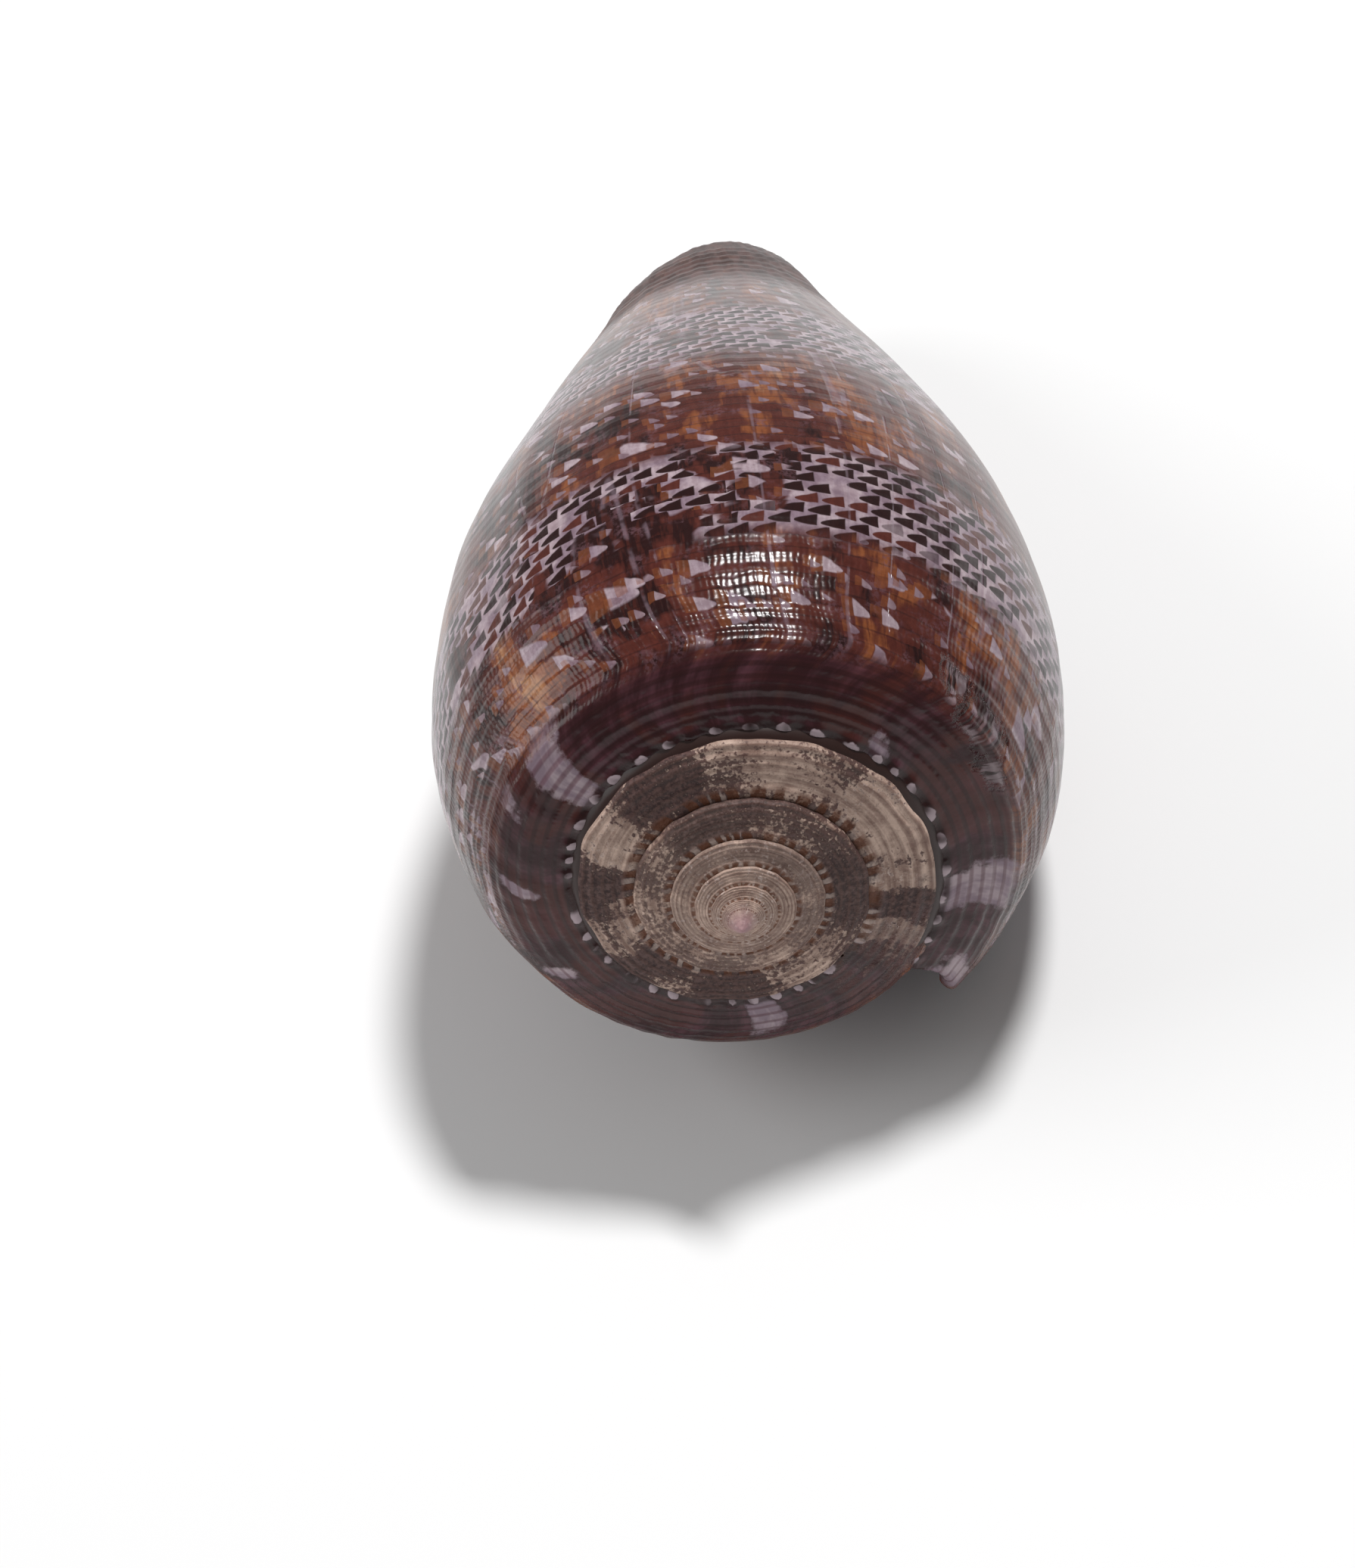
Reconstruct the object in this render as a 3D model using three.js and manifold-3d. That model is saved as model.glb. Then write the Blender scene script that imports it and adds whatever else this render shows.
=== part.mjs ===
// A cone shell, the empty shell of a cone snail, lying on its aperture as it settles on a table.
// One grown piece: a low stepped spire with a pointed tip, a rounded shoulder, a long body whorl that
// narrows to the siphonal end, and a slit aperture along the whole length that leads into the coiled
// living chamber. Right-handed coil: seen from the tip, it grows clockwise.
//
// Millimetres, +Z up. The origin is on the table under the middle of the shell's box. The spire faces -Y
// and the siphonal end faces +Y.
//
// The shell is drawn first in its own coil frame: z runs along the coil axis with the tip of the spire at
// z = 0 and the siphonal end at negative z. "depth" is the distance below the tip, so z = -depth.
// "turn" is the place along the coil in whole turns: 0 at the lip, -1 one whorl earlier, and so on.
import * as THREE from "three";
import { ConvexHull } from "three/addons/math/ConvexHull.js";
import { mergeVertices } from "three/addons/utils/BufferGeometryUtils.js";
import Module from "manifold-3d";

// ---- Driving dimensions ----
const SUTURE_RADIUS = 8.48; // from the axis to the suture where the lip starts
const SPIRE_GROWTH = 1.523; // how much wider the suture is after each turn
const BODY_GROWTH = 1.347; // how much larger the body's outline is after its last turn
const SPIRE_SLOPE = 0.311; // depth gained for each millimetre away from the axis
const TIP_RISE = 1.4; // how far the pointed tip stands above the cone of the spire
const TIP_SPREAD = 0.65; // radius over which the tip flares into the spire
const WHORLS = 7; // turns from the lip back to the first tiny whorl
const COLUMELLA = { radius: 1.9, depth: 49.6 }; // free end of the central pillar

// Outline of the body whorl at the lip, from the suture to the siphonal rim: [radius, depth].
const OUTLINE = [
  [8.48, 4.04], // suture
  [10.0, 4.42], // ramp
  [11.4, 5.2],
  [12.6, 6.5], // shoulder
  [14.42, 10.97],
  [15.12, 17.2], // widest
  [14.15, 25.5],
  [11.15, 35.0],
  [7.58, 44.2], // neck
  [5.9, 48.7],
  [4.6, 51.2], // siphonal rim
].map(([radius, depth]) => new THREE.Vector2(radius, depth));

// Wall thickness: at the cutting edge of the lip, a sixth of a turn inside it, and in the older whorls,
// whose walls the animal dissolves to make room.
const WALL = { edge: 0.8, body: 1.25, old: 0.75 };
const CALLUS = 0.2; // glaze laid over the older whorl inside the aperture

// The lip's edge runs ahead of a straight line along the shell, in degrees of turn: nothing at the
// suture, a lobe past the notch at the shoulder, then a slow fall to the siphonal end. The two places
// are millimetres along the outline.
const LIP = { lobe: 10, end: 2, notchEnds: 1.2, lobeStarts: 4.5 };

const CHAMBER_TURNS = 1.25; // how far the open chamber is followed inwards
const CANAL_OPEN = { from: -0.5, to: -0.3 }; // turns over which the siphonal canal comes to open

// A shell put down on its aperture rolls until it lies on the lip and the body. Its underside is then
// about this many degrees of turn past the lip.
const LIES_PAST_LIP = -45;

// ---- Resolution ----
const STEPS_PER_TURN = 36;
const SHOWN_STEPS = 6; // across the ramp of a whorl, from its suture to the next
const COVERED_STEPS = 18; // over the rest of the last whorl's outline
const CHAMBER_STEPS = 16;

const { lerp, inverseLerp, smoothstep } = THREE.MathUtils;

// ---- Growth law ----
const outlineCurve = new THREE.SplineCurve(OUTLINE);
const outlineLength = outlineCurve.getLength();
const SHOULDER_SHARE = 3 / (OUTLINE.length - 1);

function suturePoint(turn) {
  const x = SUTURE_RADIUS * SPIRE_GROWTH ** turn;
  return { x, y: SPIRE_SLOPE * x + TIP_RISE };
}

// Outline of the last whorl at a turn. Its suture end follows the spire and the rest follows the body.
function outlinePoint(share, turn) {
  const scale = BODY_GROWTH ** turn;
  const suture = suturePoint(turn);
  const follow = 1 - smoothstep(share, 0, SHOULDER_SHARE);
  const { x, y } = outlineCurve.getPoint(share).multiplyScalar(scale);
  return {
    x: x + follow * (suture.x - OUTLINE[0].x * scale),
    y: y + follow * (suture.y - OUTLINE[0].y * scale),
  };
}

// Share of the outline that is left showing once the next whorl covers the rest.
let shownShare = 0;
while (outlinePoint(shownShare, -1).x < SUTURE_RADIUS) shownShare += 0.001;

// How far the shell runs ahead of a straight line at a share of the outline, in turns. It swings out
// over the last quarter turn to the lip.
function lipLead(share, turn) {
  const distance = share * outlineLength;
  const shoulder = smoothstep(distance, LIP.notchEnds, LIP.lobeStarts);
  const degrees = lerp(LIP.lobe, LIP.end, smoothstep(distance, LIP.lobeStarts, outlineLength));
  return (shoulder * degrees * smoothstep(turn, -0.25, 0)) / 360;
}

// The ramp that shows of a whorl before the last: the last whorl's first ramp, shrunk towards the
// spire's pole. It ends on the suture of the whorl after it.
function rampLine(turn) {
  const scale = SPIRE_GROWTH ** (turn + 1);
  const line = [];
  for (let i = 0; i < SHOWN_STEPS; i++) {
    const { x, y } = outlinePoint((i / SHOWN_STEPS) * shownShare, -1);
    line.push({ x: x * scale, y: (y - TIP_RISE) * scale + TIP_RISE, lead: 0 });
  }
  return [...line, { ...suturePoint(turn + 1), lead: 0 }];
}

// The last whorl's whole outer line, from its suture to the pillar's free end.
function bodyLine(turn) {
  const shares = [];
  for (let i = 0; i < SHOWN_STEPS; i++) shares.push((i / SHOWN_STEPS) * shownShare);
  for (let i = 0; i <= COVERED_STEPS; i++) shares.push(lerp(shownShare, 1, i / COVERED_STEPS));
  const line = shares.map((share) => ({ ...outlinePoint(share, turn), lead: lipLead(share, turn) }));
  if (turn === -1) line[SHOWN_STEPS] = { ...suturePoint(0), lead: 0 };
  const rim = line[line.length - 1];
  for (const share of [0.5, 1])
    line.push({
      x: lerp(rim.x, COLUMELLA.radius, share),
      y: lerp(rim.y, COLUMELLA.depth, share),
      lead: lerp(rim.lead, 0, share),
    });
  return line;
}

// A line moved towards the axis by a distance, or away from it when the distance is negative.
function insetLine(line, distance) {
  return line.map((point, i) => {
    const [a, b] = [line[Math.max(i - 1, 0)], line[Math.min(i + 1, line.length - 1)]];
    const length = Math.hypot(b.x - a.x, b.y - a.y);
    const x = point.x - ((b.y - a.y) / length) * distance;
    const y = point.y + ((b.x - a.x) / length) * distance;
    return { x, y, lead: point.lead };
  });
}

// ---- Faces ----
// A point of the coil frame. Growth runs clockwise seen from the tip, and the middle of the spire is
// drawn up into the tip.
function placed({ x, y, lead }, turn) {
  const angle = -2 * Math.PI * (turn + lead);
  const lift = y < TIP_RISE + 3 ? TIP_RISE * Math.exp(-x / TIP_SPREAD) : 0;
  return new THREE.Vector3(x * Math.cos(angle), x * Math.sin(angle), lift - y);
}

// Skin of triangles between two rows of points of the same length.
function skin(triangles, row, next) {
  for (let i = 0; i + 1 < row.length; i++) {
    triangles.push([row[i], next[i], row[i + 1]]);
    triangles.push([row[i + 1], next[i], next[i + 1]]);
  }
}

// Closes a stretch of coil with its section, facing back along the coil or forwards.
function cap(triangles, ring, section, forwards) {
  const flat = section.map(({ x, y }) => new THREE.Vector2(x, y));
  for (const [a, b, c] of THREE.ShapeUtils.triangulateShape(flat, []))
    triangles.push(forwards ? [ring[a], ring[c], ring[b]] : [ring[a], ring[b], ring[c]]);
}

const wasm = await Module();
wasm.setup();

function solidOf(triangles) {
  const loose = new THREE.BufferGeometry().setFromPoints(triangles.flat());
  const welded = mergeVertices(loose, 1e-4);
  const faces = [];
  for (let i = 0; i < welded.index.count; i += 3) {
    const [a, b, c] = [0, 1, 2].map((k) => welded.index.getX(i + k));
    if (a !== b && b !== c && c !== a) faces.push(a, b, c);
  }
  const vertProperties = welded.attributes.position.array;
  return new wasm.Manifold(new wasm.Mesh({ numProp: 3, vertProperties, triVerts: new Uint32Array(faces) }));
}

// ---- The grown outside, with no chamber yet ----
const outside = [];
const rowAt = (line, turn) => line.map((point) => placed(point, turn));
const turnOf = (step) => step / STEPS_PER_TURN;
const tip = new THREE.Vector3();
for (let step = -WHORLS * STEPS_PER_TURN; step < -STEPS_PER_TURN; step++) {
  const [row, next] = [step, step + 1].map((at) => rowAt(rampLine(turnOf(at)), turnOf(at)));
  skin(outside, row, next);
  if (step < (1 - WHORLS) * STEPS_PER_TURN) outside.push([tip, next[0], row[0]]);
}
skin(outside, Array(SHOWN_STEPS + 1).fill(tip), rowAt(rampLine(-WHORLS), -WHORLS));

const pillarEnd = new THREE.Vector3(0, 0, -COLUMELLA.depth);
for (let step = -STEPS_PER_TURN; step < 0; step++) {
  const [row, next] = [step, step + 1].map((at) => rowAt(bodyLine(turnOf(at)), turnOf(at)));
  skin(outside, row, next);
  outside.push([pillarEnd, row[row.length - 1], next[next.length - 1]]);
}

// Face of the lip, from the older whorl out to the edge of the last.
const edge = bodyLine(0);
const older = bodyLine(-1).slice(SHOWN_STEPS + 1, -1).reverse();
cap(outside, [...rowAt(edge, 0), ...rowAt(older, -1)], [...edge, ...older], true);

// ---- The living chamber ----
function wallAt(turn) {
  if (turn > -1 / 6) return lerp(WALL.body, WALL.edge, Math.min(turn * 6 + 1, 1));
  return lerp(WALL.old, WALL.body, smoothstep(turn, -1, -0.5));
}

// Point of a line at a depth.
function atDepth(line, depth) {
  const i = line.findIndex((point, k) => k > 0 && point.y >= depth);
  if (i < 0) return { ...line[line.length - 1], y: depth };
  return { x: lerp(line[i - 1].x, line[i].x, inverseLerp(line[i - 1].y, line[i].y, depth)), y: depth };
}

// Chamber's section: down inside the wall of its whorl, then back up along the whorl before it.
function chamberSection(turn) {
  const open = smoothstep(turn, CANAL_OPEN.from, CANAL_OPEN.to);
  const below = OUTLINE[OUTLINE.length - 1].y + 4;
  const wall = insetLine(bodyLine(turn), wallAt(turn));
  for (const point of wall.slice(-2)) point.y = lerp(point.y, below, open);
  const inner = insetLine(bodyLine(turn - 1), -CALLUS);
  const clear = wall.map((point) => point.x - atDepth(inner, point.y).x);
  const first = clear.findIndex((gap) => gap > 0);
  const last = clear.findLastIndex((gap) => gap > 0);
  const crossing = (i, k) => {
    const share = clear[i] / (clear[i] - clear[k]);
    const [a, b] = [wall[i], wall[k]];
    return { x: lerp(a.x, b.x, share), y: lerp(a.y, b.y, share), lead: lerp(a.lead, b.lead, share) };
  };
  const outer = [crossing(first, first - 1), ...wall.slice(first, last + 1)];
  if (last + 1 < wall.length) outer.push(crossing(last, last + 1));
  return { outer, inner };
}

// The section as a closed ring with the same number of points at every turn.
function chamberRing(turn) {
  const { outer, inner } = chamberSection(turn);
  const path = new THREE.CurvePath();
  for (let i = 0; i + 1 < outer.length; i++) {
    const [a, b] = [outer[i], outer[i + 1]].map(({ x, y, lead }) => new THREE.Vector3(x, y, lead));
    path.add(new THREE.LineCurve3(a, b));
  }
  const ring = path.getSpacedPoints(CHAMBER_STEPS).map(({ x, y, z }) => ({ x, y, lead: z }));
  const [top, bottom] = [ring[0].y, ring[CHAMBER_STEPS].y];
  for (let i = CHAMBER_STEPS; i > 0; i--)
    ring.push({ ...atDepth(inner, lerp(top, bottom, i / CHAMBER_STEPS)), lead: 0 });
  return ring;
}

const hollow = [];
const PAST_LIP = 2;
const [hollowStart, hollowEnd] = [Math.round(-CHAMBER_TURNS * STEPS_PER_TURN), PAST_LIP];
for (let step = hollowStart; step < hollowEnd; step++) {
  const [row, next] = [step, step + 1].map((at) => rowAt(chamberRing(turnOf(at)), turnOf(at)));
  skin(hollow, [...row, row[0]], [...next, next[0]]);
}
for (const step of [hollowStart, hollowEnd]) {
  const section = chamberRing(turnOf(step));
  cap(hollow, rowAt(section, turnOf(step)), section, step === hollowEnd);
}

const shell = solidOf(outside).subtract(solidOf(hollow));

// ---- Lying down ----
// Middle of mass of a closed mesh, from the pyramids its triangles make with the origin.
function middleOfMass(position, index) {
  const [a, b, c] = [new THREE.Vector3(), new THREE.Vector3(), new THREE.Vector3()];
  const middle = new THREE.Vector3();
  let volume = 0;
  for (let i = 0; i < index.length; i += 3) {
    [a, b, c].forEach((v, k) => v.fromBufferAttribute(position, index[i + k]));
    const pyramid = new THREE.Vector3().crossVectors(b, c).dot(a);
    middle.addScaledVector(new THREE.Vector3().add(a).add(b).add(c), pyramid / 4);
    volume += pyramid;
  }
  return middle.divideScalar(volume);
}

// The down direction of the shell at rest. It rests on a face of its convex hull that has the middle of
// mass over it, and of those it takes the one nearest to a guess.
function restingDown(position, index, guess) {
  const middle = middleOfMass(position, index);
  const points = [];
  for (let i = 0; i < position.count; i++) points.push(new THREE.Vector3().fromBufferAttribute(position, i));
  let down = null;
  for (const face of new ConvexHull().setFromPoints(points).faces) {
    const corners = [face.edge, face.edge.next, face.edge.prev].map((edge) => edge.head().point);
    const foot = middle.clone().addScaledVector(face.normal, face.constant - face.normal.dot(middle));
    const over = new THREE.Triangle(...corners).containsPoint(foot);
    if (over && (!down || face.normal.dot(guess) > down.dot(guess))) down = face.normal.clone();
  }
  return down;
}

const mesh = shell.getMesh();
const geometry = new THREE.BufferGeometry();
geometry.setAttribute("position", new THREE.BufferAttribute(mesh.vertProperties, 3));
geometry.setIndex(new THREE.BufferAttribute(mesh.triVerts, 1));

const ahead = THREE.MathUtils.degToRad(LIES_PAST_LIP);
const guess = new THREE.Vector3(Math.cos(ahead), Math.sin(ahead), 0);
const down = restingDown(geometry.attributes.position, mesh.triVerts, guess);
const up = down.clone().negate();
const tailward = new THREE.Vector3(0, 0, -1).projectOnPlane(up).normalize();
const across = new THREE.Vector3().crossVectors(tailward, up);
geometry.applyMatrix4(new THREE.Matrix4().makeBasis(across, tailward, up).transpose());
geometry.computeBoundingBox();
const box = geometry.boundingBox;
geometry.translate(-(box.min.x + box.max.x) / 2, -(box.min.y + box.max.y) / 2, -box.min.z);
geometry.computeVertexNormals();

// ---- Scene graph ----
const material = new THREE.MeshStandardMaterial({ color: 0xa8765a, roughness: 0.25, metalness: 0 });
const body = new THREE.Mesh(geometry, material);
body.name = "shell";

const group = new THREE.Group();
group.name = "cone_shell";
group.add(body);

export default group;
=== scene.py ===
from math import pi, radians

import bpy
import numpy as np
from mathutils import Matrix, Vector


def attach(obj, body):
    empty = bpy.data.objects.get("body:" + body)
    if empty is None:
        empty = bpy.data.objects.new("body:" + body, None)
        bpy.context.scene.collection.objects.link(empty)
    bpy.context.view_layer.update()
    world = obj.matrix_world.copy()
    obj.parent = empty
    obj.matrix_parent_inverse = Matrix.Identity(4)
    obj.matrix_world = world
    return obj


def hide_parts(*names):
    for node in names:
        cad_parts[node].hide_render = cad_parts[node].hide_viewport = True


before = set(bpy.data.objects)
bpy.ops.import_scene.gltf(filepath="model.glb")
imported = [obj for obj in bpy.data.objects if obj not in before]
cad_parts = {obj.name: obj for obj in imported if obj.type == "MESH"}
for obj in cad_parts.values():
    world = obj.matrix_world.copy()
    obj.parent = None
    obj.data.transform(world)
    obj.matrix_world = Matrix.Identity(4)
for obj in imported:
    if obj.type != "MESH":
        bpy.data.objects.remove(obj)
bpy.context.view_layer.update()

bpy.ops.object.select_all(action="DESELECT")

# ---------------------------------------------------------------------------------------------------
# Studio. A pale table top under a white surround, one broad soft light from above and behind, a
# weaker fill, and a camera that looks down over the spire to the siphonal end.
# ---------------------------------------------------------------------------------------------------
bpy.ops.mesh.primitive_plane_add(size=3.0, location=(0, 0, 0))
table = bpy.context.object
table.name = "table_top"
table_paint = bpy.data.materials.new("table_paint")
table_paint.use_nodes = True
table_shader = table_paint.node_tree.nodes["Principled BSDF"]
table_shader.inputs["Base Color"].default_value = (0.86, 0.86, 0.86, 1)
table_shader.inputs["Roughness"].default_value = 0.75
table.data.materials.append(table_paint)

surround = bpy.data.worlds.new("white_surround")
surround.use_nodes = True
surround.node_tree.nodes["Background"].inputs["Color"].default_value = (1, 1, 1, 1)
surround.node_tree.nodes["Background"].inputs["Strength"].default_value = 0.24
bpy.context.scene.world = surround
bpy.context.scene.view_settings.view_transform = "Standard"


def soft_light(name, place, target, size, watts, depth=None):
    bpy.ops.object.light_add(type="AREA", location=place)
    light = bpy.context.object
    light.name = name
    light.data.shape = "ELLIPSE"
    light.data.size, light.data.size_y = size, depth or size
    light.data.energy = watts
    light.rotation_euler = (Vector(target) - Vector(place)).to_track_quat("-Z", "Y").to_euler()


soft_light("overhead_light", (0.10, 0.10, 0.41), (0, 0, 0.01), 0.085, 1.6, 0.05)
soft_light("fill_light", (-0.44, 0.02, 0.24), (0, 0, 0.01), 0.40, 1.1)

bpy.ops.object.camera_add(location=(0.00934, -0.16378, 0.18218))
camera = bpy.context.object
camera.name = "camera"
camera_right = Vector((0.98918, -0.06536, -0.13137))
camera_up = Vector((0.13571, 0.74790, 0.64979))
camera_back = camera_right.cross(camera_up)
turned = Matrix((camera_right, camera_up, camera_back)).transposed().to_4x4()
camera.matrix_world = Matrix.Translation(camera.location) @ turned
camera.data.sensor_width = 36
camera.data.lens = 121.6
camera.data.clip_start = 0.01
bpy.context.scene.camera = camera

# ---------------------------------------------------------------------------------------------------
# Shell, its growth. A cone snail's shell is one wall of aragonite, laid down at the lip and carried
# round its axis while everything grows in proportion. Flat grids are wrapped by that growth law here,
# because no set of modelling operators gives a growing coil.
# ---------------------------------------------------------------------------------------------------

# "turn" is 0 at the lip and -1 a whorl earlier. "way" is the distance in millimetres from the suture
# along the outline, at the size the shell has at the lip. Radius and depth are in millimetres too.
SUTURE_RADIUS = 8.48  # at the lip
SPIRE_GROWTH = 1.523  # times a turn, for the sutures of the spire
BODY_GROWTH = 1.347  # times a turn, for the last whorl below its shoulder
SPIRE_SLOPE = 0.311  # depth for each millimetre of radius
TIP_RISE = 1.4  # by which the first whorl stands above that slope
TIP_SPREAD = 0.65  # over which the rise fades, outwards from the tip
TIP_BLUNT = 0.22  # roundness of its point
WHORLS = 7
PILLAR_END = np.array((1.9, 49.6))  # radius and depth
OUTLINE = np.array((
    (8.48, 4.04), (10.0, 4.42), (11.4, 5.2), (12.6, 6.5), (14.42, 10.97), (15.12, 17.2),
    (14.15, 25.5), (11.15, 35.0), (7.58, 44.2), (5.9, 48.9), (4.5, 51.65),
))
LAST = len(OUTLINE) - 1


def along_outline(share):
    """Radius and depth on the lip's outline, a smooth curve through its points."""
    k = np.clip(share, 0, 1) * LAST
    i = np.minimum(np.floor(k).astype(int), LAST - 1)
    w = (k - i)[..., None]
    a, b, c, d = (OUTLINE[np.clip(i + nearby, 0, LAST)] for nearby in (-1, 0, 1, 2))
    bent = (2 * a - 5 * b + 4 * c - d) * w**2 + (3 * b - a - 3 * c + d) * w**3
    return 0.5 * (2 * b + (c - a) * w + bent)


def smooth(value, low, high):
    """0 below low and 1 above high, with a smooth rise between."""
    x = np.clip((value - low) / (high - low), 0, 1)
    return x * x * (3 - 2 * x)


shares = np.linspace(0, 1, 2001)
ways = np.concatenate(([0], np.cumsum(np.linalg.norm(np.diff(along_outline(shares), axis=0), axis=1))))
RIM_WAY = float(ways[-1])
FRONT_WAY = RIM_WAY - 13  # where the siphonal end begins
SHOULDER_SHARE = 3 / LAST


def grown(turn, way):
    """Radius and depth of the bare outline at a turn, before ledges, cords and growth marks."""
    share = np.interp(way, ways, shares)
    scale = BODY_GROWTH**turn
    suture = SUTURE_RADIUS * SPIRE_GROWTH**turn
    follow = 1 - smooth(share, 0, SHOULDER_SHARE)
    point = along_outline(share)
    radius = point[..., 0] * scale + follow * (suture - OUTLINE[0, 0] * scale)
    depth = point[..., 1] * scale + follow * (SPIRE_SLOPE * suture + TIP_RISE - OUTLINE[0, 1] * scale)
    return radius, depth


first_ramp = grown(np.full(2001, -1.0), ways)[0]
SHOWN_WAY = float(np.interp(SUTURE_RADIUS, first_ramp[:600], ways[:600]))

# Lip: a notch beside the suture, a blunt tooth at the shoulder, then a slow fall to the siphonal end.
# It is given as the degrees of turn by which the edge runs ahead at a way along the outline.
LIP_WAYS = (0, 0.8, 2.0, 3.0, 4.0, 4.7, 5.6, 7.0, 9.5, 16, 30, RIM_WAY)
LIP_LEADS = (8.0, 6.0, 4.0, 5.0, 8.5, 10.5, 9.0, 7.5, 7.0, 6.5, 5.0, 2.0)


def lip_lead(way):
    """Turns by which the lip runs ahead, with the corners of the list above rounded off."""
    near = [np.interp(way + off, LIP_WAYS, LIP_LEADS) for off in (-0.4, -0.2, 0, 0.2, 0.4)]
    return sum(near) / len(near) / 360


def wander(turn, waves, seed):
    """Smooth irregular wave along the coil, mostly between -1 and 1."""
    local = np.random.default_rng(seed)
    total = np.zeros_like(turn)
    for k in range(6):
        rate = waves * (0.6 + 0.8 * local.random())
        total += np.sin(2 * pi * (rate * turn + local.random()))
    return total / 3.2


LEDGE = 0.12  # how far an older whorl's edge stands over the bare outline
SUNK = 0.36  # how far a ramp starts below the edge of the whorl before it
CORD_PITCH = 0.55  # from one spiral cord of the ramp to the next
RIDGE_PITCH = 0.95  # from one ridge of the siphonal end to the next
BEADS = 38  # to the turn, along the inner margin of the ramp


def bead_rise(growth):
    """Along the coil, 1 on a bead and -1 half way to the next, a little unevenly spaced."""
    return np.cos(2 * pi * (BEADS * growth + 0.4 * wander(growth, 9, 3)))


def bulge(way, middle, width):
    """A low round swelling across the outline, 1 at its middle."""
    return np.exp(-(((way - middle) / width) ** 2))


def relief(way, growth):
    """Height over the bare outline, at the lip's size. growth is the turn of the growth line."""
    ramp = 1 - smooth(way, 5.5, 8.0)
    cords = 0.030 * ramp * np.cos(2 * pi * way / CORD_PITCH) * smooth(way, 0.9, 1.5)
    margin = 0.12 * bulge(way, 0.65, 0.4)
    beads = 0.09 * bulge(way, 0.6, 0.35) * bead_rise(growth)
    sunk = -SUNK * (1 - smooth(way, 0, 3.5)) - 0.06 * bulge(way, 2.3, 1.1)
    fine_lines = 0.022 * wander(growth, 46, 5) * smooth(way, 0.5, 3)
    broad_lines = 0.05 * wander(growth, 13, 6) * smooth(way, 2, 8)
    ridges = 0.05 * smooth(way, FRONT_WAY, RIM_WAY - 5) * np.cos(2 * pi * way / RIDGE_PITCH)
    return cords + margin + beads + sunk + fine_lines + broad_lines + ridges


def coil_points(radius, depth, turn):
    """Points in the coil's own frame, whose z axis has the tip of the spire at its top."""
    lift = TIP_RISE * np.exp(-np.hypot(radius, TIP_BLUNT) / TIP_SPREAD) * (depth < 5)
    angle = -2 * pi * turn
    return np.stack((radius * np.cos(angle), radius * np.sin(angle), lift - depth), -1)


def outside(turn, way, older=False):
    """The finished outside: the bare outline with its ledges, cords, beads and growth marks. An older
    whorl is the one before the last, shrunk towards the tip."""
    law_turn = np.full_like(turn, -1.0) if older else turn
    shrink = SPIRE_GROWTH ** (turn + 1) if older else np.ones_like(turn)
    radius, depth = grown(law_turn, way)
    ahead, behind = grown(law_turn, way + 0.02), grown(law_turn, way - 0.02)
    along = np.stack((ahead[0] - behind[0], ahead[1] - behind[1]), -1)
    along /= np.linalg.norm(along, axis=-1, keepdims=True) + 1e-9
    edge = LEDGE * smooth(way, 0.3 * SHOWN_WAY, 0.85 * SHOWN_WAY)
    edge = edge * (1 - smooth(way, SHOWN_WAY, SHOWN_WAY + 3))
    edge = edge * (1 - smooth(turn, -1.0, -0.8)) / BODY_GROWTH
    high = BODY_GROWTH**law_turn * relief(way, turn - lip_lead(way)) + edge
    wavy = 0.07 * wander(turn, 17, 11) * smooth(way, 0.6 * SHOWN_WAY, SHOWN_WAY) * (turn < -0.99)
    tucked = 0.3 * (1 - smooth(way, 0, 0.25))
    radius = radius + along[..., 1] * high + wavy - tucked
    depth = depth - along[..., 0] * high
    return coil_points(radius * shrink, (depth - TIP_RISE) * shrink + TIP_RISE, turn)


def wrapped(name, points, growth, way, bake):
    """A flat grid whose rows and columns are laid over the given points. growth and way go into the
    "growth" map that the colouring follows, and bake gives each point's place in the bake map."""
    rows, columns = points.shape[:2]
    bpy.ops.mesh.primitive_grid_add(x_subdivisions=columns - 1, y_subdivisions=rows - 1, size=1)
    grid = bpy.context.object
    grid.name = name
    mesh = grid.data
    flat = np.empty(len(mesh.vertices) * 3)
    mesh.vertices.foreach_get("co", flat)
    flat = flat.reshape(-1, 3)
    column = np.rint((flat[:, 0] + 0.5) * (columns - 1)).astype(int)
    row = np.rint((flat[:, 1] + 0.5) * (rows - 1)).astype(int)
    mesh.vertices.foreach_set("co", (points[row, column] * 0.001).ravel())
    corner = np.empty(len(mesh.loops), dtype=np.int32)
    mesh.loops.foreach_get("vertex_index", corner)
    for layer, values in (("OFBake", bake), ("growth", (growth, way))):
        pair = [np.broadcast_to(value, (rows, columns))[row, column] for value in values]
        uv = mesh.uv_layers.new(name=layer)
        uv.data.foreach_set("uv", np.stack(pair, -1)[corner].astype(np.float32).ravel())
    bead = mesh.attributes.new("bead", "FLOAT", "POINT")
    beads = np.broadcast_to(0.5 + 0.5 * bead_rise(growth), (rows, columns))
    bead.data.foreach_set("value", beads[row, column].astype(np.float32))
    mesh.uv_layers.remove(mesh.uv_layers["UVMap"])
    mesh.flip_normals()
    return grid


def on_bake_map(left, low, width, height, u, v):
    """Places on the bake map, in the rectangle that one sheet has to itself."""
    return left + width * u, low + height * v


def across(points):
    """Direction square to a sheet of points in rows and columns."""
    normal = np.cross(np.gradient(points, axis=0), np.gradient(points, axis=1))
    return normal / (np.linalg.norm(normal, axis=-1, keepdims=True) + 1e-12)


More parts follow.
